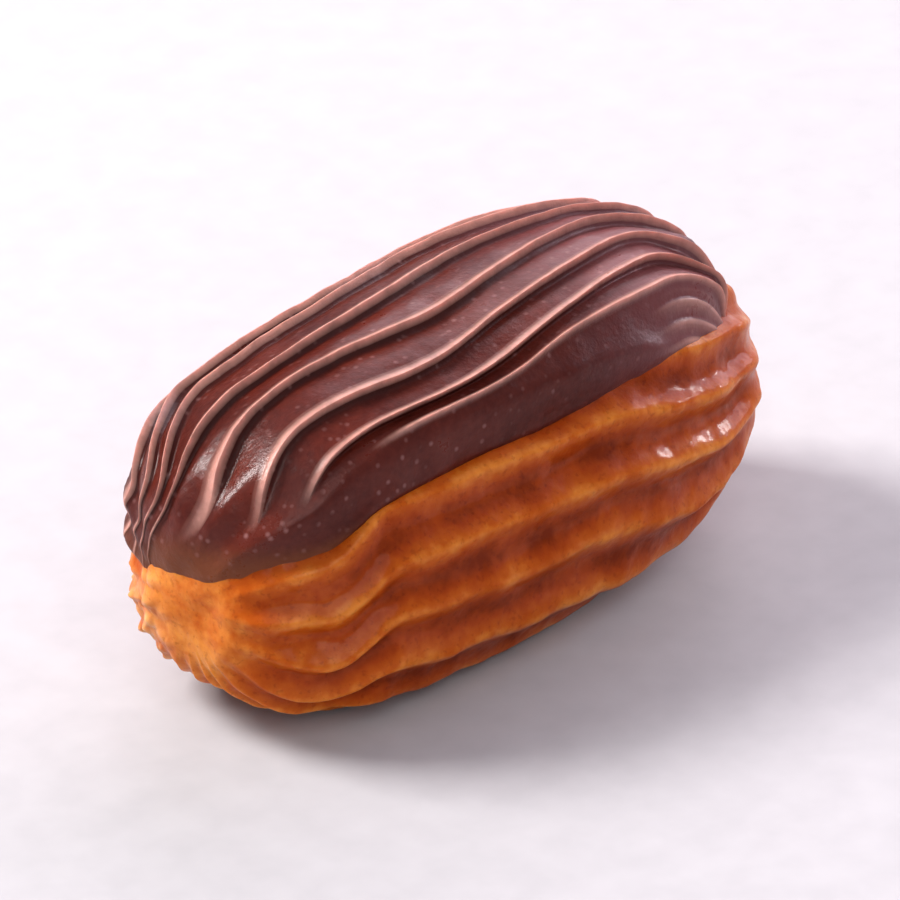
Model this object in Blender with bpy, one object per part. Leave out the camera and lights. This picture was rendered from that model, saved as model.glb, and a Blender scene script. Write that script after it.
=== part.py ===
"""A finger of fried choux dough soaked in syrup, under a ribbon of piped chocolate cream.

The finger lies along X on the plane Z = 0, with its ragged cut end at -X and its
rounded end at +X. The origin is under the middle of the whole piece.
"""

import math

import bmesh
import bpy
import numpy as np
from mathutils import Vector, noise

MM = 0.001

# The dough as it leaves the star nozzle and the fryer. A power of 2 is round, a higher one squarer.
LENGTH = 58.3 * MM
WIDTH = 27 * MM
DOUGH_HEIGHT = 25.5 * MM
SQUASH = 1.0 * MM  # how far the underside is pressed flat
TAPER = 0.035  # how much thicker than the middle it is at the rounded end
CUT_END_POWER = 3.2
ROUND_END_POWER = 2.7
TOP_POWER = 2.15
BOTTOM_POWER = 2.9  # where the soft dough has slumped
RIDGES = 19
RIDGE_DEPTH = 1.0 * MM
RIDGE_ROUNDNESS = 1.5  # 1 is sharp, 2 as round as the grooves
RIDGE_TWIST = math.radians(20)  # from one end to the other
RIDGE_DROOPS = (  # where the ridges of both sides sink towards the table: from, to, and how far
    (-17 * MM, -24 * MM, math.radians(17)),
    (4 * MM, 20 * MM, math.radians(9)),
)
RIDGE_WAVES = ((0.05, 2, 0.9), (0.04, 3, 2.2))  # uneven spacing: size, waves round the finger, start
TURN_ROUNDS = 8  # enough to find a ridge's turn from its angle
RIDGE_FADE = (0.3, 0.95)  # shares of the full section between which the ridges rise from an end
CUT_END = (0.30, 0.46)  # shares of the length between which the dough turns ragged
CRAG = 0.3 * MM
CUT_END_CRAG = 0.55 * MM
CRAG_SIZE = 5.5 * MM
CRAG_SEED = Vector((3.1, 7.4, 1.9))
CRAG_ROUGHNESS = 0.9
CRAG_LACUNARITY = 2.2
CRAG_OCTAVES = 2
END_GROOVE = 0.3 * MM  # how much deeper the grooves are in the cut face
DOUGH_SEGMENTS = RIDGES * 4
DOUGH_RINGS = 38

# The ribbon of cream, drawn from low on the cut end over the top to the rounded end.
# Its angles across are from straight up, below 0 towards -Y.
CORE_HALF_LENGTH = 15.5 * MM  # between the centres that the ribbon bends round at the ends
CREAM_START_BEND = math.radians(92)  # from straight up, down over the cut end
CREAM_END_BEND = math.radians(56)
CREAM_NEAR_EDGE = math.radians(-58)
CREAM_FAR_EDGE = math.radians(62)
CREST_ANGLES = tuple(math.radians(a) for a in (-35, -29, -17, -3, 11, 26, 37, 47))
CREST_STARTS = tuple(a * MM for a in (-15, -23, -27, -29, -37, -37, -37, -37))  # along the ribbon
CREST_START_FADE = (-2 * MM, 3 * MM)
CREST_TIP_FADE = 0.8  # how much lower the crests are where they gather at the tip
CREST_TIP_FADE_BEND = (math.radians(50), math.radians(82))
CREST_SWAY = math.radians(2.9)
CREST_SWAY_LENGTH = 48 * MM
CREST_SWAY_START = -11.5 * MM
CREST_SWAY_REACH = (-0.5, 0.35)  # the crests past the middle of the width sway less and less
CREST_DRIFT = math.radians(7)  # each crest's own wander
CREST_DRIFT_LENGTH = 15 * MM
CREST_DRIFT_SPREAD = 0.5  # how little a crest's wander is like its neighbour's
CREST_DRIFT_SEED = 64.2
CREST_END_BOW = math.radians(4)  # the crests' turn towards -Y at the rounded end
CREST_END_BOW_REACH = (15 * MM, 22 * MM)
CREAM_TURN_DOWN = (math.radians(20), math.radians(62))  # the bend over which the crests part
CREAM_TIP_ANGLE = math.radians(4)
FAR_GATHER = 0.85  # how far the crests beyond the tip draw in to it
FAR_HOLD = 3  # the power by which the gathering lessens towards the +Y edge
NEAR_SPREAD = math.radians(6.5)  # how far the others draw away from it
CREAM_THICKNESS = 2.7 * MM
CREST_HEIGHT = 1.15 * MM
CREST_SHARPNESS = 1.6
NEAR_BAND_SWELL = 0.5  # how high the plain band stands where it meets the first crest
CREAM_RIM_POWER = 5.0  # of the outline: 2 is an ellipse, a higher one squarer
CREAM_TIP_POWERS = (3.3, 9.0)  # over the cut end, where its -Y side narrows and its +Y side doesn't
CREAM_TIP_ALONG = (0.2, 0.9)
CREAM_TIP_ACROSS = (-0.3, 0.4)
CREAM_TIP_LEAN = 0.18  # how far the tip of the outline lies towards +Y
CREAM_TIP_SWING = math.radians(13)  # how far the tip of the whole ribbon swings to +Y
CREAM_TIP_SWING_BEND = (math.radians(50), math.radians(88))
CREAM_TIP_THINNING = 0.55
CREAM_TIP_THIN_BEND = (math.radians(45), math.radians(85))
CREAM_EDGE_LIFT = math.radians(3.5)  # the -Y edge runs a little higher towards the cut end
CREAM_EDGE_LIFT_REACH = (2 * MM, -8 * MM)
CREAM_RIM_STEEPNESS = 0.38
CREAM_DRAPE = (0.5 * MM, 3.0 * MM)  # thinner cream follows the ridges under it, thicker cream hides them
CREAM_TUCK = 3.6 * MM  # how far its rim dips under the dough's mean surface
CREAM_ROOT = 6.5 * MM  # how far its underside reaches into the dough, before the dough is cut away
CREAM_GAP = 0.3 * MM  # between the cream and the dough
CREAM_STEPS_ALONG = 46
CREAM_STEPS_PER_CREST = 4
CREAM_STEPS_AT_EDGE = (7, 4)  # on the plain bands beside the crests, -Y and +Y


def end_power(x):
    """How blunt the finger is on this side of its middle."""
    return CUT_END_POWER if x < 0 else ROUND_END_POWER


def section_power(height):
    """How square the section is at a height above or below the middle line."""
    return TOP_POWER if height > 0 else BOTTOM_POWER


def half_section(x):
    """Half the width and half the unpressed height of the finger's fullest section."""
    swell = 1 + TAPER * 2 * x / LENGTH
    return WIDTH / 2 * swell, (DOUGH_HEIGHT + SQUASH) / 2 * swell


def centre_height(x):
    """Height of the finger's middle line above the table."""
    return half_section(x)[1] - SQUASH


def core_point(x):
    """The point of the finger's core that is nearest to a place along it."""
    x = max(-CORE_HALF_LENGTH, min(CORE_HALF_LENGTH, x))
    return Vector((x, 0, centre_height(x)))


def smooth_step(low, high, value):
    """0 below low, 1 above high, and a smooth rise between them."""
    t = max(0.0, min(1.0, (value - low) / (high - low)))
    return t * t * (3 - 2 * t)


def section_share(x):
    """The share of the full section at a place along the finger, down to 0 at both ends."""
    power = end_power(x)
    return max(0.0, 1 - abs(2 * x / LENGTH) ** power) ** (1 / power)


def plain_point(x, angle):
    """A point of the finger without grooves or crags. The angle goes from +Y over the top."""
    half_width, half_height = half_section(x)
    square = section_power(math.sin(angle))
    across = abs(math.cos(angle) / half_width) ** square + abs(math.sin(angle) / half_height) ** square
    radius = section_share(x) * across ** (-1 / square)
    return Vector((x, radius * math.cos(angle), centre_height(x) + radius * math.sin(angle)))


def is_inside(point):
    """Whether a point is inside the plain finger."""
    half_width, half_height = half_section(point.x)
    height = point.z - centre_height(point.x)
    square = section_power(height)
    across = abs(point.y / half_width) ** square + abs(height / half_height) ** square
    power = end_power(point.x)
    return abs(2 * point.x / LENGTH) ** power + across ** (power / square) < 1


def surface_along(core, direction):
    """The point where a line from inside the plain finger comes out of it."""
    inside, outside = 0.0, LENGTH
    while outside - inside > 0.001 * MM:
        middle = (inside + outside) / 2
        if is_inside(core + direction * middle):
            inside = middle
        else:
            outside = middle
    return core + direction * inside


def nozzle_angle(turn, x):
    """Where a ridge lies that leaves the nozzle at a turn: they are twisted and unevenly spaced."""
    uneven = sum(size * math.sin(waves * turn + start) for size, waves, start in RIDGE_WAVES)
    level = turn + uneven + RIDGE_TWIST * x / LENGTH
    droop = sum(size * smooth_step(start, end, x) for start, end, size in RIDGE_DROOPS)
    return level - droop * math.cos(level)


def nozzle_turn(angle, x):
    """The turn whose ridge lies at an angle."""
    turn = angle
    for _ in range(TURN_ROUNDS):
        turn += angle - nozzle_angle(turn, x)
    return turn


def valley(turn):
    """0 on a ridge of the dough and 1 in the groove between two."""
    return abs(math.sin(turn * RIDGES / 2)) ** RIDGE_ROUNDNESS


def dough_relief(plain, turn):
    """How far the fried surface stands out of a point of the plain finger."""
    ragged = smooth_step(*CUT_END, -plain.x / LENGTH)
    ridged = smooth_step(*RIDGE_FADE, section_share(plain.x))
    pressed = max(0.0, 1 - plain.z / centre_height(plain.x)) ** 3
    groove = valley(turn) * (RIDGE_DEPTH * (1 - pressed / 2) + END_GROOVE * ragged) * ridged
    place = plain / CRAG_SIZE + CRAG_SEED
    crag = (CRAG + (CUT_END_CRAG - CRAG) * ragged) * noise.fractal(
        place, CRAG_ROUGHNESS, CRAG_LACUNARITY, CRAG_OCTAVES
    )
    return crag - groove


def dough_point(latitude, turn, grown):
    """A point of the fried surface, moved out by grown.

    The latitude goes from -90 degrees at the cut end to 90.
    """
    x = math.copysign(abs(math.sin(latitude)) ** (2 / end_power(latitude)), latitude) * LENGTH / 2
    plain = plain_point(x, nozzle_angle(turn, x))
    out = (plain - core_point(x)).normalized()
    point = plain + out * (dough_relief(plain, turn) + grown)
    point.z = max(point.z, -grown)
    return point


def dough_mesh(grown=0.0):
    """The finger, shaped from a sphere whose poles go to the two ends."""
    bm = bmesh.new()
    bmesh.ops.create_uvsphere(bm, u_segments=DOUGH_SEGMENTS, v_segments=DOUGH_RINGS, radius=1)
    for vert in bm.verts:
        latitude = math.asin(max(-1.0, min(1.0, vert.co.z)))
        vert.co = dough_point(latitude, math.atan2(vert.co.y, vert.co.x), grown)
    return bm


def cream_columns():
    """The steps across the cream: angle, place counted in crests, and height from groove to crest."""
    near, far = CREAM_STEPS_AT_EDGE
    first, last = CREST_ANGLES[0], CREST_ANGLES[-1]
    columns = []
    for i in range(near):
        share = math.sin(i / near * math.pi / 2)
        columns.append((CREAM_NEAR_EDGE + (first - CREAM_NEAR_EDGE) * share, 0, NEAR_BAND_SWELL * share**4))
    for i, (crest, after) in enumerate(zip(CREST_ANGLES, CREST_ANGLES[1:])):
        for j in range(CREAM_STEPS_PER_CREST):
            share = j / CREAM_STEPS_PER_CREST
            height = abs(2 * share - 1) ** CREST_SHARPNESS
            columns.append((crest + (after - crest) * share, i + share, height))
    for i in range(far + 1):
        share = 1 - math.cos(i / far * math.pi / 2)
        columns.append((last + (CREAM_FAR_EDGE - last) * share, len(CREST_ANGLES) - 1, 1 - share))
    return columns


def width_coordinate(angle):
    """An angle across the cream as -1 at its -Y edge to 1 at the other."""
    return 2 * (angle - CREAM_NEAR_EDGE) / (CREAM_FAR_EDGE - CREAM_NEAR_EDGE) - 1


def cream_along(u):
    """How far along the ribbon a place is that goes from -1 at the cut end to 1."""
    start = -CORE_HALF_LENGTH - CREAM_START_BEND * WIDTH / 2
    end = CORE_HALF_LENGTH + CREAM_END_BEND * WIDTH / 2
    return start + (end - start) * (u + 1) / 2


def cream_bend(along):
    """How far the ribbon has bent down at a place along it, below 0 over the cut end."""
    return (along - core_point(along).x) / (WIDTH / 2)


def cream_seat(along, angle, crest):
    """The point of the plain finger under a point of the cream, and the way out of it there."""
    core = core_point(along)
    bend = cream_bend(along)
    v = width_coordinate(angle)
    sway = CREST_SWAY * math.cos(math.tau * (along - CREST_SWAY_START) / CREST_SWAY_LENGTH)
    sway *= smooth_step(*CREST_SWAY_REACH, -v)
    place = Vector((along / CREST_DRIFT_LENGTH, crest * CREST_DRIFT_SPREAD, CREST_DRIFT_SEED))
    bow = CREST_END_BOW * smooth_step(*CREST_END_BOW_REACH, along)
    turned = angle - (sway - CREST_DRIFT * noise.noise(place) + bow) * (1 - v**4)
    turned += CREAM_EDGE_LIFT * smooth_step(*CREAM_EDGE_LIFT_REACH, along) * max(0.0, -v) ** 4
    down = smooth_step(*CREAM_TURN_DOWN, -bend)
    if turned > CREAM_TIP_ANGLE:
        held = ((angle - CREAM_TIP_ANGLE) / (CREAM_FAR_EDGE - CREAM_TIP_ANGLE)) ** FAR_HOLD
        turned -= (turned - CREAM_TIP_ANGLE) * FAR_GATHER * down * (1 - held)
    else:
        turned -= min(NEAR_SPREAD, CREAM_TIP_ANGLE - turned) * down * (1 - v**4)
    turned += CREAM_TIP_SWING * smooth_step(*CREAM_TIP_SWING_BEND, -bend) * (1 - v**4)
    out = Vector((math.sin(bend) * math.cos(turned), math.sin(turned), math.cos(bend) * math.cos(turned)))
    return surface_along(core, out), out


def cream_rise(u, angle, crest, height):
    """How far the top of the cream stands out of the dough, below zero at its tucked rim."""
    v = width_coordinate(angle)
    v -= CREAM_TIP_LEAN * smooth_step(*CREAM_TIP_ALONG, -u) * (1 - v * v)
    near_power, far_power = CREAM_TIP_POWERS
    tip_power = near_power + (far_power - near_power) * smooth_step(*CREAM_TIP_ACROSS, v)
    power = CREAM_RIM_POWER + (tip_power - CREAM_RIM_POWER) * smooth_step(*CREAM_TIP_ALONG, -u)
    dome = max(0.0, 1 - abs(u) ** power - abs(v) ** power) ** CREAM_RIM_STEEPNESS
    start = np.interp(crest, range(len(CREST_STARTS)), CREST_STARTS)
    early, late = CREST_START_FADE
    along = cream_along(u)
    combed = CREST_HEIGHT * (height - 0.5) * smooth_step(start + early, start + late, along)
    combed *= 1 - CREST_TIP_FADE * smooth_step(*CREST_TIP_FADE_BEND, -cream_bend(along))
    thinned = CREAM_TIP_THINNING * smooth_step(*CREAM_TIP_THIN_BEND, -cream_bend(along))
    return ((CREAM_THICKNESS + CREAM_TUCK + combed) * dome - CREAM_TUCK) * (1 - thinned)


def cream_top(u, angle, crest, height, seat):
    """How far the top of the cream stands out of the plain finger."""
    rise = cream_rise(u, angle, crest, height)
    turn = nozzle_turn(math.atan2(seat.z - centre_height(seat.x), seat.y), seat.x)
    return rise + dough_relief(seat, turn) * (1 - smooth_step(*CREAM_DRAPE, rise))


def cream_mesh():
    """The ribbon as a closed pillow, shaped from a grid, with its underside sunk in the dough."""
    columns = cream_columns()
    bm = bmesh.new()
    bmesh.ops.create_grid(bm, x_segments=CREAM_STEPS_ALONG, y_segments=len(columns) - 1, size=1)
    extruded = bmesh.ops.extrude_face_region(bm, geom=bm.faces[:])["geom"]
    sunk = {item for item in extruded if isinstance(item, bmesh.types.BMVert)}
    for vert in bm.verts:
        u = math.sin(vert.co.x * math.pi / 2)  # closer together towards both ends
        angle, crest, height = columns[round((vert.co.y + 1) / 2 * (len(columns) - 1))]
        seat, out = cream_seat(cream_along(u), angle, crest)
        vert.co = seat + out * (-CREAM_ROOT if vert in sunk else cream_top(u, angle, crest, height, seat))
    return bm


def mesh_object(name, bm, colour, roughness):
    """An object of its own material from a finished bmesh."""
    bm.normal_update()
    bmesh.ops.recalc_face_normals(bm, faces=bm.faces)
    mesh = bpy.data.meshes.new(name)
    bm.to_mesh(mesh)
    bm.free()
    material = bpy.data.materials.new(name)
    material.use_nodes = True
    shader = material.node_tree.nodes["Principled BSDF"]
    shader.inputs["Base Color"].default_value = (*colour, 1)
    shader.inputs["Roughness"].default_value = roughness
    shader.inputs["Metallic"].default_value = 0
    mesh.materials.append(material)
    mesh.shade_smooth()
    obj = bpy.data.objects.new(name, mesh)
    bpy.context.scene.collection.objects.link(obj)
    return obj


def centre_on_origin(shown, hidden):
    """Moves the solids together, so that the origin is under the middle of the box round what shows."""
    bpy.context.view_layer.update()
    depsgraph = bpy.context.evaluated_depsgraph_get()
    corners = np.array([v.co for obj in shown for v in obj.evaluated_get(depsgraph).data.vertices])
    low, high = corners.min(axis=0), corners.max(axis=0)
    for obj in shown + hidden:
        obj.location = (-(low[0] + high[0]) / 2, -(low[1] + high[1]) / 2, -low[2])


def main():
    for obj in list(bpy.data.objects):
        bpy.data.objects.remove(obj)
    dough = mesh_object("dough", dough_mesh(), (0.42, 0.13, 0.02), 0.35)
    cream = mesh_object("cream", cream_mesh(), (0.13, 0.05, 0.035), 0.45)
    clearance = mesh_object("dough_clearance", dough_mesh(CREAM_GAP), (0.5, 0.5, 0.5), 0.5)
    clearance.hide_render = True
    clearance.display_type = "WIRE"
    seat = cream.modifiers.new("seat_on_dough", "BOOLEAN")
    seat.operation = "DIFFERENCE"
    seat.object = clearance
    centre_on_origin([dough, cream], [clearance])
    bpy.context.view_layer.update()


main()
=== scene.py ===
"""One piece of tulumba: a ribbed finger of fried choux dough, soaked in syrup, under piped chocolate cream.

The dough is made first, then the cream that is piped over it, and last the table, the camera and
the light. All sizes are in metres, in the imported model's own frame.
"""

import math

import bmesh
import bpy
import numpy as np
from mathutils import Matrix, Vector, noise


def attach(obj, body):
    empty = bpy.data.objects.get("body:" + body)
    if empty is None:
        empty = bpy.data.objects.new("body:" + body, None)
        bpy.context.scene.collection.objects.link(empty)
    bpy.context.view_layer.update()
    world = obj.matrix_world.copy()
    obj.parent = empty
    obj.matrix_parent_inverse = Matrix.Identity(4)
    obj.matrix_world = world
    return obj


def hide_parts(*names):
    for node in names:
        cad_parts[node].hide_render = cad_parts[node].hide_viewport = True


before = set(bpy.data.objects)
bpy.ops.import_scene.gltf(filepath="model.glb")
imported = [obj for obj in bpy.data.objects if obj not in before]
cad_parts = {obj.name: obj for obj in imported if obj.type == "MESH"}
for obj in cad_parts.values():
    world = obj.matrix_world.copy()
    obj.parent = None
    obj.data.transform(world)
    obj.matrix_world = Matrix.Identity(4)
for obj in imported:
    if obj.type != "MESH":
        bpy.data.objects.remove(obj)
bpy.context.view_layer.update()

# The fried dough.
# A soft choux paste, pushed through a star nozzle, snipped off, fried until it browns and soaked in
# syrup. The end that was snipped last is ragged, the other is round, and the underside is flat.
MM = 0.001
LENGTH = 58.3 * MM
WIDTH = 27 * MM
DOUGH_HEIGHT = 25.5 * MM
SQUASH = 1.0 * MM
TAPER = 0.035
CUT_END_POWER = 3.2
ROUND_END_POWER = 2.7
TOP_POWER = 2.15
BOTTOM_POWER = 2.9
CORE_HALF_LENGTH = 15.5 * MM
FINGER_MIDDLE = Vector((0.2 * MM, 0.06 * MM, 0))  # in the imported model's frame

RIDGES = 19
RIDGE_DEPTH = 1.0 * MM
RIDGE_ROUNDNESS = 1.5
RIDGE_TWIST = math.radians(20)  # from one end of the finger to the other
RIDGE_DROOPS = (  # where the ridges of both sides sink towards the table: from, to, and how far
    (-17 * MM, -24 * MM, math.radians(17)),
    (4 * MM, 20 * MM, math.radians(9)),
)
RIDGE_WAVES = ((0.05, 2, 0.9), (0.04, 3, 2.2))  # size, waves round the finger, start
RIDGE_FADE = (0.3, 0.95)  # the shares of the full section between which the ridges rise
RIDGE_WANDER = math.radians(1.2)
RIDGE_WANDER_LENGTH = 7 * MM
RIDGE_UNLIKENESS = 2.5  # how little a ridge is like its neighbour
DEPTH_CHANGE = 0.55
PRESSED_SHARE = 0.5  # how much of a groove's depth is lost where the dough lies on the table
PRESSED_POWER = 3

CUT_END = (0.30, 0.46)  # the shares of the length between which the cut end turns ragged
CRAG = 0.3 * MM
CUT_END_CRAG = 0.55 * MM
CRAG_SIZE = 5.5 * MM
CRAG_SEED = Vector((3.1, 7.4, 1.9))
CRAG_NOISE = (0.9, 2.2, 2)  # how the finer crags fade, how much finer each is, and how many
END_GROOVE = 0.3 * MM
LUMP = 0.16 * MM  # soft swellings from the frying
LUMP_SIZE = 3.4 * MM
STREAK = 0.09 * MM  # fine lines that the nozzle's rough edge draws along the dough
STREAKS_ROUND = 11
STREAK_LENGTH = 12 * MM
STREAK_FADE = (0.2, 0.7)
BLISTER = 0.06 * MM
BLISTER_SIZE = 1.3 * MM
BLISTER_NOISE = (0.8, 2.1, 2)
CRUMB = 0.6 * MM  # beads of crumb where the paste tore, low on the +Y side of the cut end
CRUMB_SIZE = 1.3 * MM
CRUMB_ACROSS = (0 * MM, 5 * MM)
CRUMB_BELOW = (14.5 * MM, 12 * MM)
CRUMB_HEIGHTS = (0.6, 0.8)  # a bead's usual share of the full height, and how far it strays from it
CRUMB_BEAD = (0.75, 1.5)  # how wide and how pointed a bead is

STEPS_PER_RIDGE = 22
DOUGH_RINGS = 220
LATITUDE_SAMPLES = 6001

CRUST_COLOURS = (  # from the bottom of a groove to the top of a ridge: the crust's browning, with painted shade in the grooves and painted light on the ridge tops
    (0.05, (0.17, 0.018, 0.001)),
    (0.40, (0.34, 0.046, 0.002)),
    (0.70, (0.47, 0.090, 0.005)),
    (1.00, (0.68, 0.23, 0.030)),
)
RIDGE_SHARE = 0.6  # how much of the colour follows the ridges, as painted shade in the grooves and painted light on the ridge tops, while patches give the rest
CRUST_PATCHES = (5 * MM, 1.0 * MM)
CRUMB_COLOUR = (0.85, 0.42, 0.14)
BROWN_SPECKS = ((0.30, (0.62, 0.5, 0.42)), (0.42, (1, 1, 1)))
BROWN_SPECK_SIZE = 0.45 * MM
BROWN_SPECK_STRENGTH = 0.5
CRUST_ROUGHNESS = (0.55, 0.4)
CRUST_SPECULAR = 0.06
SYRUP_COAT = (0.12, 0.5)  # where the syrup has soaked in, and where it lies thick
SYRUP_ROUGHNESS = 0.12
SYRUP_IOR = 1.33
CRUST_GLOW = 0.4  # how much light goes into the dough before it comes back
CRUST_GLOW_REACH = (1.0, 0.35, 0.1)
CRUST_GRAIN_SIZE = 0.8 * MM
CRUST_GRAIN_HEIGHT = 0.09 * MM


def smooth_step(low, high, value):
    """0 below low, 1 above high, and a smooth rise between them."""
    t = max(0.0, min(1.0, (value - low) / (high - low)))
    return t * t * (3 - 2 * t)


def end_power(x):
    """How blunt the finger is on this side of its middle."""
    return CUT_END_POWER if x < 0 else ROUND_END_POWER


def half_section(x):
    """Half the width and half the unpressed height of the finger's fullest section."""
    swell = 1 + TAPER * 2 * x / LENGTH
    return WIDTH / 2 * swell, (DOUGH_HEIGHT + SQUASH) / 2 * swell


def centre_height(x):
    """Height of the finger's middle line above the table."""
    return half_section(x)[1] - SQUASH


def core_point(x):
    """The point of the finger's core that is nearest to a place along it."""
    x = max(-CORE_HALF_LENGTH, min(CORE_HALF_LENGTH, x))
    return Vector((x, 0, centre_height(x)))


def section_share(x):
    """The share of the full section at a place along the finger, down to 0 at both ends."""
    power = end_power(x)
    return max(0.0, 1 - abs(2 * x / LENGTH) ** power) ** (1 / power)


def plain_point(x, angle):
    """A point of the finger before ridges and crags. The angle goes from +Y over the top."""
    half_width, half_height = half_section(x)
    square = TOP_POWER if math.sin(angle) > 0 else BOTTOM_POWER
    across = abs(math.cos(angle) / half_width) ** square + abs(math.sin(angle) / half_height) ** square
    radius = section_share(x) * across ** (-1 / square)
    return Vector((x, radius * math.cos(angle), centre_height(x) + radius * math.sin(angle)))


def place_along(latitude):
    """The place along the finger of a latitude from -90 degrees at the cut end to 90."""
    return math.copysign(abs(math.sin(latitude)) ** (2 / end_power(latitude)), latitude) * LENGTH / 2


def even_latitudes(rings):
    """Latitudes from the cut end to the round end that are evenly far apart on the surface."""
    latitudes = np.linspace(-math.pi / 2, math.pi / 2, LATITUDE_SAMPLES)
    outline = [plain_point(place_along(latitude), 0) for latitude in latitudes]
    lengths = [0.0]
    for before, after in zip(outline, outline[1:]):
        lengths.append(lengths[-1] + (after - before).length)
    return np.interp(np.linspace(0, lengths[-1], rings + 1), lengths, latitudes)


def round_the_nozzle(turn, radius):
    """Coordinates for a noise that closes on itself round the finger."""
    return radius * math.cos(turn), radius * math.sin(turn)


def nozzle_angle(turn, x):
    """Where round the finger a ridge lies that left the nozzle at a turn."""
    uneven = sum(size * math.sin(waves * turn + start) for size, waves, start in RIDGE_WAVES)
    place = Vector((x / RIDGE_WANDER_LENGTH, *round_the_nozzle(turn, RIDGE_UNLIKENESS)))
    level = turn + uneven + RIDGE_WANDER * noise.noise(place) + RIDGE_TWIST * x / LENGTH
    droop = sum(size * smooth_step(start, end, x) for start, end, size in RIDGE_DROOPS)
    return level - droop * math.cos(level)


def valley(turn):
    """0 on a ridge of the dough and 1 in the groove between two."""
    return abs(math.sin(turn * RIDGES / 2)) ** RIDGE_ROUNDNESS


def dough_relief(plain, turn):
    """How far the fried surface stands out of a point of the plain finger."""
    ragged = smooth_step(*CUT_END, -plain.x / LENGTH)
    ridged = smooth_step(*RIDGE_FADE, section_share(plain.x))
    pressed = PRESSED_SHARE * max(0.0, 1 - plain.z / centre_height(plain.x)) ** PRESSED_POWER
    depth_place = Vector((plain.x / (2 * RIDGE_WANDER_LENGTH), *round_the_nozzle(turn, RIDGE_UNLIKENESS)))
    depth = RIDGE_DEPTH * (1 + DEPTH_CHANGE * noise.noise(depth_place + CRAG_SEED)) * (1 - pressed)
    groove = valley(turn) * (depth + END_GROOVE * ragged) * ridged
    crag = CRAG + (CUT_END_CRAG - CRAG) * ragged
    crag *= noise.fractal(plain / CRAG_SIZE + CRAG_SEED, *CRAG_NOISE)
    return crag - groove + LUMP * noise.noise(plain / LUMP_SIZE)


def crumbs(plain):
    """How far the beads of crumb stand out, from 0 where there are none to 1."""
    where = smooth_step(*CUT_END, -plain.x / LENGTH) * smooth_step(*CRUMB_ACROSS, plain.y)
    where *= smooth_step(*CRUMB_BELOW, plain.z)
    if where == 0:
        return 0.0
    nearest = noise.voronoi(plain / CRUMB_SIZE)[0][0]
    usual, stray = CRUMB_HEIGHTS
    width, point = CRUMB_BEAD
    uneven = usual + stray * noise.noise(plain / CRUMB_SIZE)
    return where * uneven * max(0.0, 1 - (nearest / width) ** point)


def dough_point(x, turn):
    """A point of the fried surface, how far it is up a ridge, and how crumbly the dough is there."""
    plain = plain_point(x, nozzle_angle(turn, x))
    out = (plain - core_point(x)).normalized()
    streak = STREAK * noise.noise(Vector((x / STREAK_LENGTH, *round_the_nozzle(turn, STREAKS_ROUND))))
    streak *= smooth_step(*STREAK_FADE, section_share(x))
    blister = BLISTER * noise.fractal(plain / BLISTER_SIZE, *BLISTER_NOISE)
    crumbly = crumbs(plain)
    point = plain + out * (dough_relief(plain, turn) + streak + blister + CRUMB * crumbly)
    point.z = max(point.z, 0)
    return point + FINGER_MIDDLE, 1 - valley(turn) * smooth_step(*RIDGE_FADE, section_share(x)), crumbly


def mesh_piece(name, bm, material):
    """A smooth object of the finished bmesh, which faces outwards and rides on the part's one body."""
    bm.normal_update()
    bmesh.ops.recalc_face_normals(bm, faces=bm.faces)
    mesh = bpy.data.meshes.new(name)
    bm.to_mesh(mesh)
    bm.free()
    mesh.materials.append(material)
    mesh.shade_smooth()
    piece = bpy.data.objects.new(name, mesh)
    bpy.context.scene.collection.objects.link(piece)
    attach(piece, "root")
    return piece


def add_node(tree, kind, inputs=(), **options):
    """A shader node with its options set, its inputs given as values or as other nodes' outputs."""
    node = tree.nodes.new("ShaderNode" + kind)
    for option, value in options.items():
        setattr(node, option, value)
    for key, value in dict(inputs).items():
        if isinstance(value, bpy.types.NodeSocket):
            tree.links.new(value, node.inputs[key])
        else:
            node.inputs[key].default_value = value
    return node


def colour_steps(tree, factor, steps):
    """The colour of a ramp at a factor; the steps are pairs of place and colour."""
    ramp = add_node(tree, "ValToRGB", {"Fac": factor})
    elements = ramp.color_ramp.elements
    while len(elements) < len(steps):
        elements.new(1)
    for element, (place, colour) in zip(elements, steps):
        element.position = place
        element.color = (*colour, 1)
    return ramp.outputs["Color"]


def mix_colours(tree, factor, first, second, blend="MIX"):
    """One colour over another by a factor."""
    node = add_node(tree, "Mix", data_type="RGBA", blend_type=blend)
    for socket, value in ((node.inputs[0], factor), (node.inputs[6], first), (node.inputs[7], second)):
        if isinstance(value, bpy.types.NodeSocket):
            tree.links.new(value, socket)
        else:
            socket.default_value = (*value, 1) if isinstance(value, tuple) else value
    return node.outputs[2]


def math_node(tree, operation, first, second=0.5, clamp=False):
    """A sum, product or power of two values."""
    return add_node(tree, "Math", {0: first, 1: second}, operation=operation, use_clamp=clamp).outputs[0]


def fine_noise(tree, place, size, detail, roughness=0.5):
    """A noise of a size, from 0 to 1."""
    inputs = {"Vector": place, "Scale": 1 / size, "Detail": detail, "Roughness": roughness}
    return add_node(tree, "TexNoise", inputs).outputs["Fac"]


def between(tree, value, low, high):
    """A value from 0 to 1 as one from low to high."""
    return add_node(tree, "MapRange", {"Value": value, "To Min": low, "To Max": high}).outputs["Result"]


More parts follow.
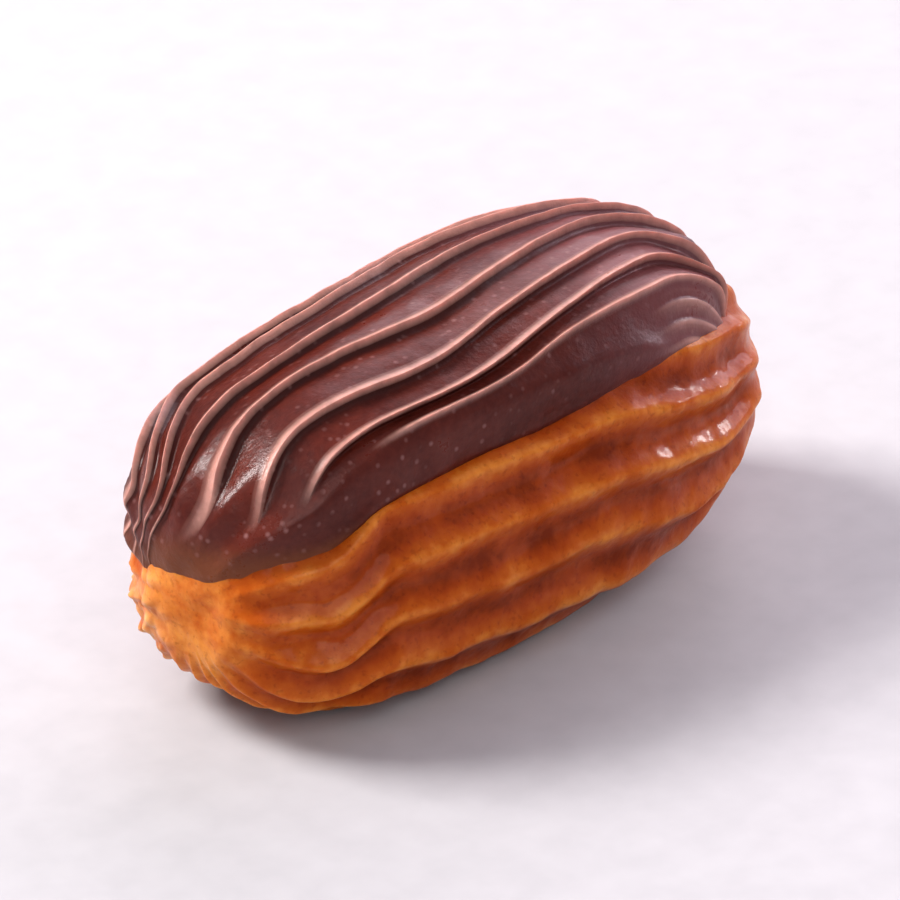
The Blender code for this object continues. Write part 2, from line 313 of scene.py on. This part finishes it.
def uneven_group():
    """A node group: broad patches with fine mottling in them, from 0 to 1, on two named sizes."""
    group = bpy.data.node_groups.new("uneven_patches", "ShaderNodeTree")
    for name, kind in (("Place", "NodeSocketVector"), ("Patch Size", "NodeSocketFloat"),
                       ("Mottle Size", "NodeSocketFloat")):
        group.interface.new_socket(name, in_out="INPUT", socket_type=kind)
    group.interface.new_socket("Patches", in_out="OUTPUT", socket_type="NodeSocketFloat")
    given = group.nodes.new("NodeGroupInput").outputs
    patches, mottle = [
        add_node(group, "TexNoise", {
            "Vector": given["Place"],
            "Scale": math_node(group, "DIVIDE", 1.0, given[size]),
            "Detail": detail,
        }).outputs["Fac"]
        for size, detail in (("Patch Size", 1.0), ("Mottle Size", 3.0))
    ]
    blend = add_node(group, "Mix", {0: 0.4, 2: patches, 3: mottle}, data_type="FLOAT").outputs[0]
    stretch = add_node(group, "MapRange", {"Value": blend, "From Min": 0.34, "From Max": 0.66})
    result = group.nodes.new("NodeGroupOutput")
    group.links.new(stretch.outputs["Result"], result.inputs["Patches"])
    return group


uneven_patches = uneven_group()


def patches_on(tree, place, patch_size, mottle_size):
    """The uneven patches' value on one material."""
    node = add_node(tree, "Group", node_tree=uneven_patches)
    tree.links.new(place, node.inputs["Place"])
    node.inputs["Patch Size"].default_value = patch_size
    node.inputs["Mottle Size"].default_value = mottle_size
    return node.outputs["Patches"]


def new_material(name):
    """An empty node material, its tree and its Principled shader."""
    material = bpy.data.materials.new(name)
    material.use_nodes = True
    tree = material.node_tree
    return material, tree, tree.nodes["Principled BSDF"]


def fried_dough():
    """Amber crust, darker in the grooves and paler on the ridges, partly browning and partly painted shade
    and light, paler on the crumbs, under a coat of syrup.
    """
    material, tree, shader = new_material("fried_dough")
    place = add_node(tree, "TexCoord").outputs["Object"]
    ridge = add_node(tree, "Attribute", attribute_name="ridge").outputs["Fac"]
    crumb = add_node(tree, "Attribute", attribute_name="crumb").outputs["Fac"]
    patches = patches_on(tree, place, *CRUST_PATCHES)
    # The ridges set painted shade in the grooves and painted light on the ridge tops; the patches add the
    # crust's uneven browning.
    from_ridge = math_node(tree, "MULTIPLY", ridge, RIDGE_SHARE)
    browned_and_shaded = math_node(tree, "ADD", from_ridge, math_node(tree, "MULTIPLY", patches, 1 - RIDGE_SHARE))
    colour = mix_colours(tree, crumb, colour_steps(tree, browned_and_shaded, CRUST_COLOURS), CRUMB_COLOUR)
    specks = fine_noise(tree, place, BROWN_SPECK_SIZE, detail=2.0)
    speck_shade = colour_steps(tree, specks, BROWN_SPECKS)
    colour = mix_colours(tree, BROWN_SPECK_STRENGTH, colour, speck_shade, blend="MULTIPLY")
    tree.links.new(colour, shader.inputs["Base Color"])
    tree.links.new(between(tree, patches, *CRUST_ROUGHNESS), shader.inputs["Roughness"])
    shader.inputs["Specular IOR Level"].default_value = CRUST_SPECULAR
    tree.links.new(between(tree, patches, *SYRUP_COAT), shader.inputs["Coat Weight"])
    shader.inputs["Coat Roughness"].default_value = SYRUP_ROUGHNESS
    shader.inputs["Coat IOR"].default_value = SYRUP_IOR
    shader.inputs["Subsurface Weight"].default_value = CRUST_GLOW
    shader.inputs["Subsurface Radius"].default_value = CRUST_GLOW_REACH
    shader.inputs["Subsurface Scale"].default_value = 1.0 * MM
    grain = fine_noise(tree, place, CRUST_GRAIN_SIZE, detail=4.0, roughness=0.6)
    bump = add_node(tree, "Bump", {"Height": grain, "Distance": CRUST_GRAIN_HEIGHT, "Strength": 0.8})
    tree.links.new(bump.outputs["Normal"], shader.inputs["Normal"])
    return material


def dough_mesh():
    """The finger, shaped from a sphere whose poles go to the two ends."""
    bm = bmesh.new()
    bmesh.ops.create_uvsphere(bm, u_segments=RIDGES * STEPS_PER_RIDGE, v_segments=DOUGH_RINGS, radius=1)
    places = [place_along(latitude) for latitude in even_latitudes(DOUGH_RINGS)]
    ridge = bm.verts.layers.float.new("ridge")
    crumb = bm.verts.layers.float.new("crumb")
    for vert in bm.verts:
        ring = round((math.asin(max(-1.0, min(1.0, vert.co.z))) / math.pi + 0.5) * DOUGH_RINGS)
        turn = math.atan2(vert.co.y, vert.co.x)
        vert.co, vert[ridge], vert[crumb] = dough_point(places[ring], turn)
    return bm


dough = mesh_piece("fried_dough", dough_mesh(), fried_dough())
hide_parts("dough")

# The ribbon of chocolate cream.
# A stiff cocoa cream, piped through a flat comb-edged nozzle from low on the cut end over the top.
# The comb leaves crests with hollow valleys between them, and a plain band along the -Y side.
CREAM_START_BEND = math.radians(92)  # how far the ribbon bends down over the cut end
CREAM_END_BEND = math.radians(56)
CREAM_NEAR_EDGE = math.radians(-58)
CREAM_FAR_EDGE = math.radians(62)
CREST_ANGLES = tuple(math.radians(a) for a in (-35, -29, -17, -3, 11, 26, 37, 47))
CREST_STARTS = tuple(a * MM for a in (-15, -23, -27, -29, -37, -37, -37, -37))  # along the ribbon
CREST_START_FADE = (-2 * MM, 3 * MM)
CREST_TIP_FADE = 0.75  # how much lower the crests get towards the tip
CREST_TIP_FADE_BEND = (math.radians(35), math.radians(80))
CREST_SWAY = math.radians(2.9)  # the slow wave that the piping hand gives to all crests
CREST_SWAY_LENGTH = 48 * MM
CREST_SWAY_START = -11.5 * MM
CREST_SWAY_REACH = (-0.5, 0.35)
CREST_DRIFT = math.radians(7)  # how far each crest strays by itself
CREST_DRIFT_LENGTH = 15 * MM
CREST_DRIFT_SPREAD = 0.5
CREST_DRIFT_SEED = 64.2
CREST_END_BOW = math.radians(4)  # how far all of them bow aside at the round end
CREST_END_BOW_REACH = (15 * MM, 22 * MM)
CREAM_TURN_DOWN = (math.radians(20), math.radians(62))
CREAM_TIP_ANGLE = math.radians(4)
FAR_GATHER = 0.85  # how much the crests of the +Y side run together at the tip
FAR_HOLD = 3
NEAR_SPREAD = math.radians(6.5)
EDGE_HOLD = 4  # the higher, the nearer to the ribbon's edges its crests can sway
CREAM_THICKNESS = 2.7 * MM
CREST_HEIGHT = 0.62 * MM
CREST_LEAN = 0.88  # where between a crest and the next one up the valley is deepest
CREST_ROUNDNESS = (1.25, 1.6)  # of the long slope above a crest and of the short one under the next
BLADE = 0.22 * MM  # the thin fin that stands on a crest
BLADE_SLOPES = (0.17, 0.045)  # how wide it is above its edge and under it
NEAR_BAND_SWELL = 0.45
NEAR_BAND_POWER = 6
NEAR_BAND_STEP = 0.93  # where the plain band ends and the first crest's flank begins
NEAR_FIN_POWER = 4
FAR_BAND_POWER = 2
BAND_LAYER = 0.35 * MM  # the thin layers in which the band ends near the round end
BAND_LAYER_WIDTH = math.radians(5.5)
BAND_LAYER_REACH = (12 * MM, 18 * MM)
BAND_LAYER_POWER = 3
CREAM_RIM_POWER = 5.0
CREAM_TIP_POWERS = (3.3, 9.0)
CREAM_TIP_ALONG = (0.2, 0.9)
CREAM_TIP_ACROSS = (-0.3, 0.4)
CREAM_TIP_LEAN = 0.18
CREAM_TIP_SWING = math.radians(13)
CREAM_TIP_SWING_BEND = (math.radians(50), math.radians(88))
CREAM_TIP_THINNING = 0.55  # the share of its thickness that the cream loses at the tip
CREAM_TIP_THIN_BEND = (math.radians(45), math.radians(85))
CREAM_EDGE_LIFT = math.radians(3.5)  # how much higher the -Y edge runs towards the cut end
CREAM_EDGE_LIFT_REACH = (2 * MM, -8 * MM)
CREAM_RIM_STEEPNESS = 0.38
CREAM_DRAPE = (0.5 * MM, 3.0 * MM)  # the heights between which the cream stops following the dough
CREAM_TUCK = 3.6 * MM  # how deep the rim is tucked into the dough
CREAM_ROOT = 6.0 * MM  # how deep the hidden underside lies in the dough
CREAM_RIPPLE = 0.09 * MM  # the soft unevenness of the whole surface
CREAM_RIPPLE_SIZE = 2.6 * MM
CREAM_RIPPLE_NOISE = (0.9, 2.1, 2)
CREAM_STEPS_ALONG = 240
CREAM_STEPS_PER_CREST = 20
CREAM_STEPS_AT_EDGE = (30, 14)
SEARCH_REACH = (8 * MM, 22 * MM)  # from the finger's core to points surely inside and outside it
SEARCH_FINENESS = 0.0002 * MM
TURN_ROUNDS = 6

COCOA_COLOURS = ((0.0, (0.098, 0.011, 0.006)), (1.0, (0.195, 0.030, 0.018)))
COCOA_PATCHES = (6 * MM, 0.6 * MM)
SHADE_COLOUR = (0.055, 0.006, 0.003)  # painted shade in the hollow under each crest
SHADE_STRENGTH = 0.85
SHADE_REACH = (CREST_LEAN - 0.1, 0.92)
# Painted glints: small pale specks, stronger in some patches.
GLINT_SPECK_COLOUR = (0.62, 0.31, 0.29)
GLINT_SPECK_SPACING = 1.1 * MM
GLINT_SPECK_EDGE = (0.25, 0.08)
GLINT_SPECK_STRENGTH = 0.5
PAINTED_SHEEN_COLOUR = (0.50, 0.18, 0.20)  # painted pale pinkish sheen, growing towards the round end
PAINTED_SHEEN_REACH = (0 * MM, 19 * MM)
PAINTED_SHEEN_STRENGTH = 0.4
# A painted peach highlight and glow on the fins and on the upper edges of the band's layers, broken up by a
# noise.
FIN_HIGHLIGHT_COLOUR = (0.98, 0.54, 0.44)
BLADE_FADE = 0.55
FIN_HIGHLIGHT_BREAK_SIZE = 1.2 * MM
FIN_HIGHLIGHT_BREAK = 0.75
THIN_COLOUR = (0.30, 0.075, 0.02)  # where the dough shows through the thin rim over the cut end
THIN_RISE = 1.1 * MM
THIN_STRENGTH = 0.8
COCOA_ROUGHNESS = (0.42, 0.27)
COCOA_SPECULAR = 0.42
COCOA_GLOW = 0.15
COCOA_GLOW_REACH = (1.0, 0.5, 0.35)
COCOA_GRAIN_SIZE = 0.5 * MM
COCOA_GRAIN_HEIGHT = 0.045 * MM


def is_inside(point):
    """Whether a point is inside the plain finger."""
    half_width, half_height = half_section(point.x)
    height = point.z - centre_height(point.x)
    square = TOP_POWER if height > 0 else BOTTOM_POWER
    across = abs(point.y / half_width) ** square + abs(height / half_height) ** square
    power = end_power(point.x)
    return abs(2 * point.x / LENGTH) ** power + across ** (power / square) < 1


def surface_along(core, direction):
    """The point where a line from inside the plain finger comes out of it."""
    inside, outside = SEARCH_REACH
    while outside - inside > SEARCH_FINENESS:
        middle = (inside + outside) / 2
        if is_inside(core + direction * middle):
            inside = middle
        else:
            outside = middle
    return core + direction * inside


def cream_columns():
    """The steps across the cream: angle, place counted in crests, height from valley to crest, and fin."""
    near, far = CREAM_STEPS_AT_EDGE
    first, last = CREST_ANGLES[0], CREST_ANGLES[-1]
    above, under = CREST_ROUNDNESS
    columns = []
    for i in range(near):
        share = math.sin(i / near * math.pi / 2)
        flank = smooth_step(NEAR_BAND_STEP, 1, share)
        height = NEAR_BAND_SWELL * share**NEAR_BAND_POWER + (1 - NEAR_BAND_SWELL) * flank
        fin = flank**NEAR_FIN_POWER
        columns.append((CREAM_NEAR_EDGE + (first - CREAM_NEAR_EDGE) * share, 0, height, fin))
    for i, (crest, after) in enumerate(zip(CREST_ANGLES, CREST_ANGLES[1:])):
        for j in range(CREAM_STEPS_PER_CREST):
            share = (1 - math.cos(j / CREAM_STEPS_PER_CREST * math.pi)) / 2
            if share < CREST_LEAN:
                height = (1 - share / CREST_LEAN) ** above
            else:
                height = ((share - CREST_LEAN) / (1 - CREST_LEAN)) ** under
            fin = 1 - smooth_step(0, 1, min(share / BLADE_SLOPES[0], (1 - share) / BLADE_SLOPES[1]))
            columns.append((crest + (after - crest) * share, i + share, height, fin))
    for i in range(far + 1):
        share = 1 - math.cos(i / far * math.pi / 2)
        height = (1 - share) ** FAR_BAND_POWER
        fin = 1 - smooth_step(0, BLADE_SLOPES[0], share)
        columns.append((last + (CREAM_FAR_EDGE - last) * share, len(CREST_ANGLES) - 1, height, fin))
    return columns


def width_coordinate(angle):
    """An angle across the cream as -1 at its -Y edge to 1 at the other."""
    return 2 * (angle - CREAM_NEAR_EDGE) / (CREAM_FAR_EDGE - CREAM_NEAR_EDGE) - 1


def cream_along(u):
    """How far along the ribbon a place is that goes from -1 at the cut end to 1."""
    start = -CORE_HALF_LENGTH - CREAM_START_BEND * WIDTH / 2
    end = CORE_HALF_LENGTH + CREAM_END_BEND * WIDTH / 2
    return start + (end - start) * (u + 1) / 2


def cream_bend(along):
    """How far the ribbon has bent down at a place along it, below 0 over the cut end."""
    return (along - core_point(along).x) / (WIDTH / 2)


def cream_seat(along, angle, crest):
    """The point of the plain finger under a point of the cream, and the way out of it there."""
    core = core_point(along)
    bend = cream_bend(along)
    v = width_coordinate(angle)
    sway = CREST_SWAY * math.cos(math.tau * (along - CREST_SWAY_START) / CREST_SWAY_LENGTH)
    sway *= smooth_step(*CREST_SWAY_REACH, -v)
    place = Vector((along / CREST_DRIFT_LENGTH, crest * CREST_DRIFT_SPREAD, CREST_DRIFT_SEED))
    bow = CREST_END_BOW * smooth_step(*CREST_END_BOW_REACH, along)
    free = 1 - v**EDGE_HOLD
    turned = angle - (sway - CREST_DRIFT * noise.noise(place) + bow) * free
    turned += CREAM_EDGE_LIFT * smooth_step(*CREAM_EDGE_LIFT_REACH, along) * max(0.0, -v) ** EDGE_HOLD
    down = smooth_step(*CREAM_TURN_DOWN, -bend)
    if turned > CREAM_TIP_ANGLE:
        held = ((angle - CREAM_TIP_ANGLE) / (CREAM_FAR_EDGE - CREAM_TIP_ANGLE)) ** FAR_HOLD
        turned -= (turned - CREAM_TIP_ANGLE) * FAR_GATHER * down * (1 - held)
    else:
        turned -= min(NEAR_SPREAD, CREAM_TIP_ANGLE - turned) * down * free
    turned += CREAM_TIP_SWING * smooth_step(*CREAM_TIP_SWING_BEND, -bend) * free
    out = Vector((math.sin(bend) * math.cos(turned), math.sin(turned), math.cos(bend) * math.cos(turned)))
    return surface_along(core, out), out


def comb_start(crest, along):
    """0 on the smooth dome before a crest begins, and 1 where it stands whole."""
    start = np.interp(crest, range(len(CREST_STARTS)), CREST_STARTS)
    early, late = CREST_START_FADE
    return smooth_step(start + early, start + late, along)


def comb_relief(along, angle, crest, height, fin):
    """How far the comb's crests and the band's layers stand out of the smooth ribbon."""
    combed = (CREST_HEIGHT * (height - 0.5) + BLADE * fin) * comb_start(crest, along)
    combed *= 1 - CREST_TIP_FADE * smooth_step(*CREST_TIP_FADE_BEND, -cream_bend(along))
    return combed + BAND_LAYER * band_layer(along, angle)


def band_layer(along, angle):
    """How high a place is on the band's layers, from 0 to 1 at the upper edge of each."""
    if angle > CREST_ANGLES[0] - BAND_LAYER_WIDTH / 2:
        return 0.0
    layer = (CREST_ANGLES[0] - angle) / BAND_LAYER_WIDTH % 1
    return (1 - layer) ** BAND_LAYER_POWER * smooth_step(*BAND_LAYER_REACH, along)


def cream_rise(u, angle, crest, height, fin):
    """How far the top of the cream stands out of the dough, below zero at its tucked rim."""
    v = width_coordinate(angle)
    v -= CREAM_TIP_LEAN * smooth_step(*CREAM_TIP_ALONG, -u) * (1 - v * v)
    near_power, far_power = CREAM_TIP_POWERS
    tip_power = near_power + (far_power - near_power) * smooth_step(*CREAM_TIP_ACROSS, v)
    power = CREAM_RIM_POWER + (tip_power - CREAM_RIM_POWER) * smooth_step(*CREAM_TIP_ALONG, -u)
    dome = max(0.0, 1 - abs(u) ** power - abs(v) ** power) ** CREAM_RIM_STEEPNESS
    along = cream_along(u)
    thinned = CREAM_TIP_THINNING * smooth_step(*CREAM_TIP_THIN_BEND, -cream_bend(along))
    combed = comb_relief(along, angle, crest, height, fin)
    return ((CREAM_THICKNESS + CREAM_TUCK + combed) * dome - CREAM_TUCK) * (1 - thinned)


def nozzle_turn(angle, x):
    """The turn whose ridge lies at an angle."""
    turn = angle
    for _ in range(TURN_ROUNDS):
        turn += angle - nozzle_angle(turn, x)
    return turn


def cream_mesh():
    """The ribbon as a closed pillow, shaped from a grid, with its underside sunk in the dough."""
    columns = cream_columns()
    bm = bmesh.new()
    bmesh.ops.create_grid(bm, x_segments=CREAM_STEPS_ALONG, y_segments=len(columns) - 1, size=1)
    extruded = bmesh.ops.extrude_face_region(bm, geom=bm.faces[:])["geom"]
    sunk = {item for item in extruded if isinstance(item, bmesh.types.BMVert)}
    blade = bm.verts.layers.float.new("blade")
    shade = bm.verts.layers.float.new("shade")
    thin = bm.verts.layers.float.new("thin")
    painted_sheen = bm.verts.layers.float.new("painted_sheen")
    seats = {}
    for vert in bm.verts:
        column = round((vert.co.y + 1) / 2 * (len(columns) - 1))
        row = round((vert.co.x + 1) / 2 * CREAM_STEPS_ALONG)
        angle, crest, height, fin = columns[column]
        u = math.sin((2 * row / CREAM_STEPS_ALONG - 1) * math.pi / 2)  # closer together at both ends
        along = cream_along(u)
        if (row, column) not in seats:
            seats[row, column] = cream_seat(along, angle, crest)
        seat, out = seats[row, column]
        if vert in sunk:
            vert.co = seat - out * CREAM_ROOT + FINGER_MIDDLE
            continue
        rise = cream_rise(u, angle, crest, height, fin)
        turn = nozzle_turn(math.atan2(seat.z - centre_height(seat.x), seat.y), seat.x)
        draped = dough_relief(seat, turn) * (1 - smooth_step(*CREAM_DRAPE, rise))
        ripple = CREAM_RIPPLE * noise.fractal(seat / CREAM_RIPPLE_SIZE, *CREAM_RIPPLE_NOISE)
        vert.co = seat + out * (rise + draped + ripple) + FINGER_MIDDLE
        # Where the painted peach highlight goes: on the fins and at the upper edges of the band's layers.
        vert[blade] = max(fin * comb_start(crest, along), band_layer(along, angle) ** 2)
        vert[shade] = smooth_step(*SHADE_REACH, crest % 1) * (1 - fin) * comb_start(crest, along)
        vert[thin] = (1 - smooth_step(0, THIN_RISE, rise)) * smooth_step(*CREAM_TURN_DOWN, -cream_bend(along))
        # Painted sheen, growing towards the round end.
        vert[painted_sheen] = smooth_step(*PAINTED_SHEEN_REACH, along)
    return bm


def cocoa_cream():
    """Semi-gloss cocoa cream, dark with painted shade under its crests, and peach on the fins with a painted
    highlight and glow where light comes through them.
    """
    material, tree, shader = new_material("cocoa_cream")
    place = add_node(tree, "TexCoord").outputs["Object"]
    blade = add_node(tree, "Attribute", attribute_name="blade").outputs["Fac"]
    shade = add_node(tree, "Attribute", attribute_name="shade").outputs["Fac"]
    thin = add_node(tree, "Attribute", attribute_name="thin").outputs["Fac"]
    painted_sheen = add_node(tree, "Attribute", attribute_name="painted_sheen").outputs["Fac"]
    patches = patches_on(tree, place, *COCOA_PATCHES)
    colour = colour_steps(tree, patches, COCOA_COLOURS)
    # Painted shade under each crest.
    colour = mix_colours(tree, math_node(tree, "MULTIPLY", shade, SHADE_STRENGTH), colour, SHADE_COLOUR)
    # Small pale specks of painted glint, in patches.
    glint_distance = add_node(tree, "TexVoronoi", {"Vector": place, "Scale": 1 / GLINT_SPECK_SPACING}).outputs["Distance"]
    painted_glint = add_node(tree, "MapRange", {
        "Value": glint_distance,
        "From Min": GLINT_SPECK_EDGE[0],
        "From Max": GLINT_SPECK_EDGE[1],
        "To Max": GLINT_SPECK_STRENGTH,
    }).outputs["Result"]
    colour = mix_colours(tree, math_node(tree, "MULTIPLY", painted_glint, patches), colour, GLINT_SPECK_COLOUR)
    # A pale pinkish painted sheen towards the round end.
    colour = mix_colours(tree, math_node(tree, "MULTIPLY", painted_sheen, PAINTED_SHEEN_STRENGTH), colour, PAINTED_SHEEN_COLOUR)
    # Breaks in the painted highlight on the fins.
    highlight_breaks = add_node(tree, "MapRange", {
        "Value": fine_noise(tree, place, FIN_HIGHLIGHT_BREAK_SIZE, detail=2.0),
        "From Min": 0.3,
        "From Max": 0.6,
        "To Min": FIN_HIGHLIGHT_BREAK,
    }).outputs["Result"]
    # The painted peach highlight on the fins.
    edge = math_node(tree, "MULTIPLY", math_node(tree, "POWER", blade, BLADE_FADE), highlight_breaks)
    colour = mix_colours(tree, edge, colour, FIN_HIGHLIGHT_COLOUR)
    colour = mix_colours(tree, math_node(tree, "MULTIPLY", thin, THIN_STRENGTH), colour, THIN_COLOUR)
    tree.links.new(colour, shader.inputs["Base Color"])
    tree.links.new(between(tree, patches, *COCOA_ROUGHNESS), shader.inputs["Roughness"])
    shader.inputs["Specular IOR Level"].default_value = COCOA_SPECULAR
    shader.inputs["Subsurface Weight"].default_value = COCOA_GLOW
    shader.inputs["Subsurface Radius"].default_value = COCOA_GLOW_REACH
    shader.inputs["Subsurface Scale"].default_value = 0.4 * MM
    grain = fine_noise(tree, place, COCOA_GRAIN_SIZE, detail=2.0, roughness=0.6)
    bump = add_node(tree, "Bump", {"Height": grain, "Distance": COCOA_GRAIN_HEIGHT, "Strength": 1.0})
    tree.links.new(bump.outputs["Normal"], shader.inputs["Normal"])
    return material


cream = mesh_piece("chocolate_cream", cream_mesh(), cocoa_cream())
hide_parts("cream")

# The table.
# A plain white sheet, which is not part of the piece.
TABLE_SIZE = 4.0
SHEET_COLOURS = ((0.3, (0.44, 0.435, 0.45)), (0.7, (0.47, 0.465, 0.48)))
SHEET_GRAIN_SIZE = 1 / 300
SHEET_ROUGHNESS = 0.7


def white_sheet():
    """Matt white with a faint grain."""
    material, tree, shader = new_material("white_sheet")
    place = add_node(tree, "TexCoord").outputs["Object"]
    grain = fine_noise(tree, place, SHEET_GRAIN_SIZE, detail=2.0)
    tree.links.new(colour_steps(tree, grain, SHEET_COLOURS), shader.inputs["Base Color"])
    shader.inputs["Roughness"].default_value = SHEET_ROUGHNESS
    return material


table_bm = bmesh.new()
bmesh.ops.create_grid(table_bm, x_segments=1, y_segments=1, size=TABLE_SIZE / 2)
table_mesh = bpy.data.meshes.new("table")
table_bm.to_mesh(table_mesh)
table_bm.free()
table_mesh.materials.append(white_sheet())
table = bpy.data.objects.new("table", table_mesh)
bpy.context.scene.collection.objects.link(table)

# The camera.
# It looks down on the cut end and the long -Y side, as the photograph does.
CAMERA_PLACE = Vector((-0.647, -0.638, 0.542))
LOOKED_AT = Vector((0.0, 0.0, 13.5 * MM))
LENS = 540

camera_data = bpy.data.cameras.new("camera")
camera_data.lens = LENS
camera_data.clip_start = 0.05
camera = bpy.data.objects.new("camera", camera_data)
camera.location = CAMERA_PLACE
camera.rotation_mode = "QUATERNION"
camera.rotation_quaternion = (LOOKED_AT - CAMERA_PLACE).to_track_quat("-Z", "Y")
bpy.context.scene.collection.objects.link(camera)
bpy.context.scene.camera = camera

# The light.
# Softboxes like a window on the camera's left and like open sky behind and at the back right, a
# small lamp for the syrup's glints, a broad soft fill from the front, and a dim even room.
TO_BACK = Vector((0.712, 0.702, 0))
TO_RIGHT = Vector((0.702, -0.712, 0))
UP = Vector((0, 0, 1))


def softbox(name, toward, distance, size, watts, colour):
    """A square area light in a direction from the piece, which it faces."""
    data = bpy.data.lights.new(name, "AREA")
    data.size = size
    data.energy = watts
    data.color = colour
    light = bpy.data.objects.new(name, data)
    light.location = LOOKED_AT + toward.normalized() * distance
    light.rotation_mode = "QUATERNION"
    light.rotation_quaternion = toward.to_track_quat("Z", "Y")
    bpy.context.scene.collection.objects.link(light)


softbox(
    "window",
    toward=TO_RIGHT * -0.85 + TO_BACK * 0.15 + UP * 0.85,
    distance=0.8,
    size=0.3,
    watts=10.5,
    colour=(1.0, 0.96, 0.95),
)
softbox(
    "sky",
    toward=TO_RIGHT * 0.2 + TO_BACK * 1.0 + UP * 0.48,
    distance=1.0,
    size=0.75,
    watts=7.0,
    colour=(1.0, 0.87, 0.97),
)
softbox(
    "side",
    toward=TO_RIGHT * 0.8 + TO_BACK * 0.7 + UP * 0.38,
    distance=0.9,
    size=0.4,
    watts=3.0,
    colour=(0.95, 0.82, 1.0),
)
softbox(
    "glint_lamp",
    toward=TO_RIGHT * 0.85 + TO_BACK * 0.5 + UP * 0.3,
    distance=0.8,
    size=0.06,
    watts=0.5,
    colour=(1.0, 0.97, 0.95),
)
softbox(
    "front_fill",
    toward=TO_RIGHT * 0.2 - TO_BACK * 1.0 + UP * 0.9,
    distance=1.2,
    size=0.9,
    watts=6.0,
    colour=(1.0, 0.97, 0.96),
)

room = bpy.data.worlds.new("room")
room.use_nodes = True
room.node_tree.nodes["Background"].inputs["Color"].default_value = (0.92, 0.89, 1.0, 1)
room.node_tree.nodes["Background"].inputs["Strength"].default_value = 0.36
bpy.context.scene.world = room
bpy.context.scene.view_settings.view_transform = "Standard"
